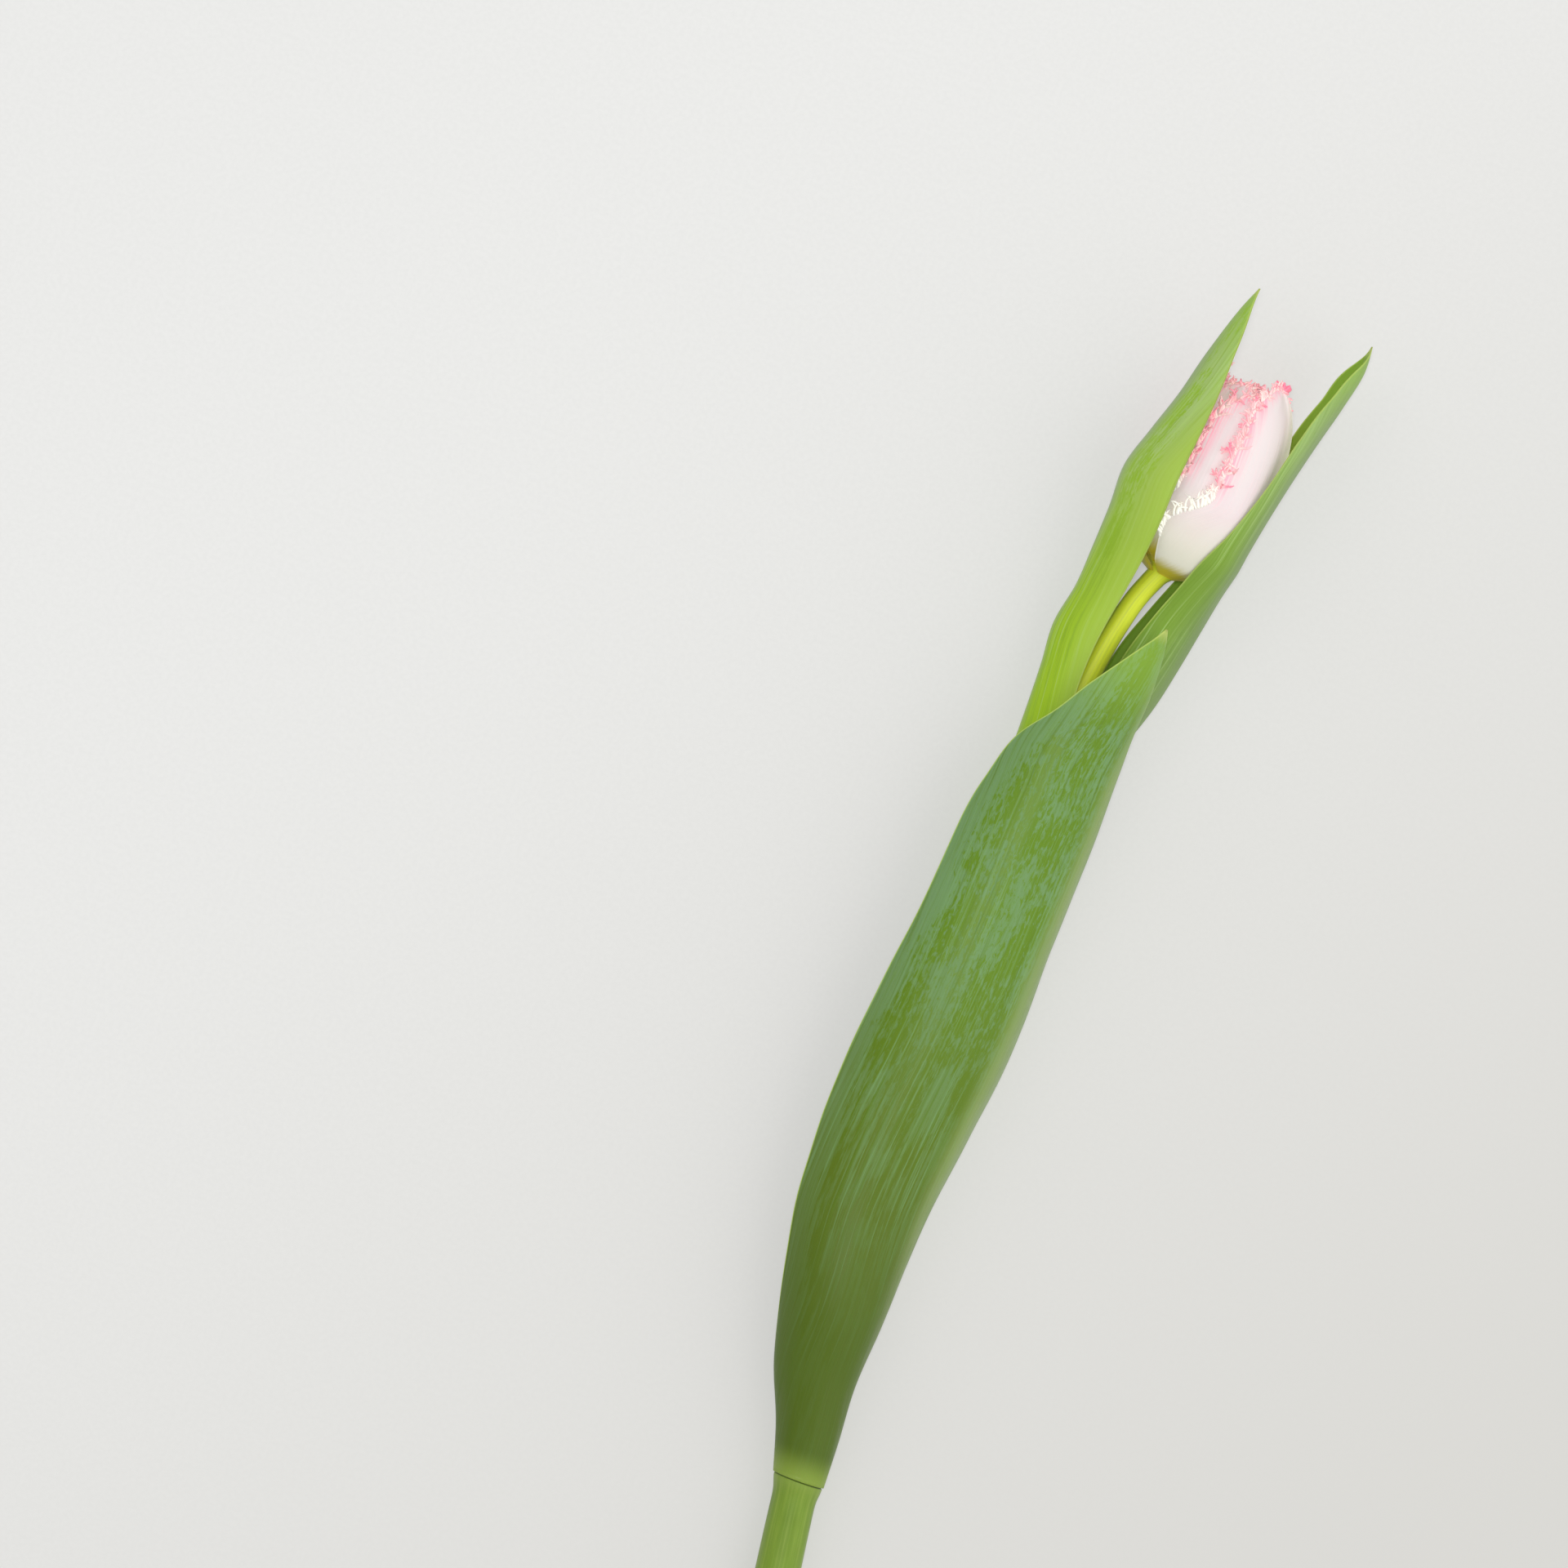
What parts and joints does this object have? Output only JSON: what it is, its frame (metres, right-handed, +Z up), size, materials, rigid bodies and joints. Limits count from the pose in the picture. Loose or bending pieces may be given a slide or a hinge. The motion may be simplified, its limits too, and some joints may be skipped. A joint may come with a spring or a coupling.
{
  "type": "fringed tulip",
  "caption": "Cut fringed tulip lying on its side: a closed double bloom with toothed petals on a round stem with clasping, channelled leaves.",
  "frame": {"origin": "on the table under the middle of the lying flower's bounding box", "axes": "+Y from the cut end toward the bloom, +Z up from the table it lies on, +X to the right seen from above with the bloom up"},
  "size_m": [0.0588, 0.4144, 0.0328],
  "materials": {
    "stem": "smooth fresh stem, yellow-green at the neck and mid green below, soft sheen",
    "leaf": "waxy blue-green bloom over vivid green, rubbed in lengthwise streaks, fine parallel veins, pale margin",
    "petal": "satin cream petal flushed pink, greenish at the foot, pink crystalline fringe",
    "pistil": "smooth pale green ovary with a cream stigma",
    "anther": "dusty dark anther on a pale filament"
  },
  "bodies": {
    "root": {"stem": "stem", "leaf_lowest": "leaf", "leaf_left": "leaf", "leaf_right": "leaf", "petal_outer_front": "petal", "petal_outer_under": "petal", "petal_outer_left": "petal", "petal_second_front": "petal", "petal_second_under": "petal", "petal_second_left": "petal", "petal_third_front": "petal", "petal_third_right": "petal", "petal_third_under": "petal", "petal_inner_front": "petal", "petal_inner_right": "petal", "petal_inner_left": "petal", "pistil": "pistil", "stamen_1": "anther", "stamen_2": "anther", "stamen_3": "anther", "stamen_4": "anther", "stamen_5": "anther", "stamen_6": "anther"}
  },
  "joints": []
}
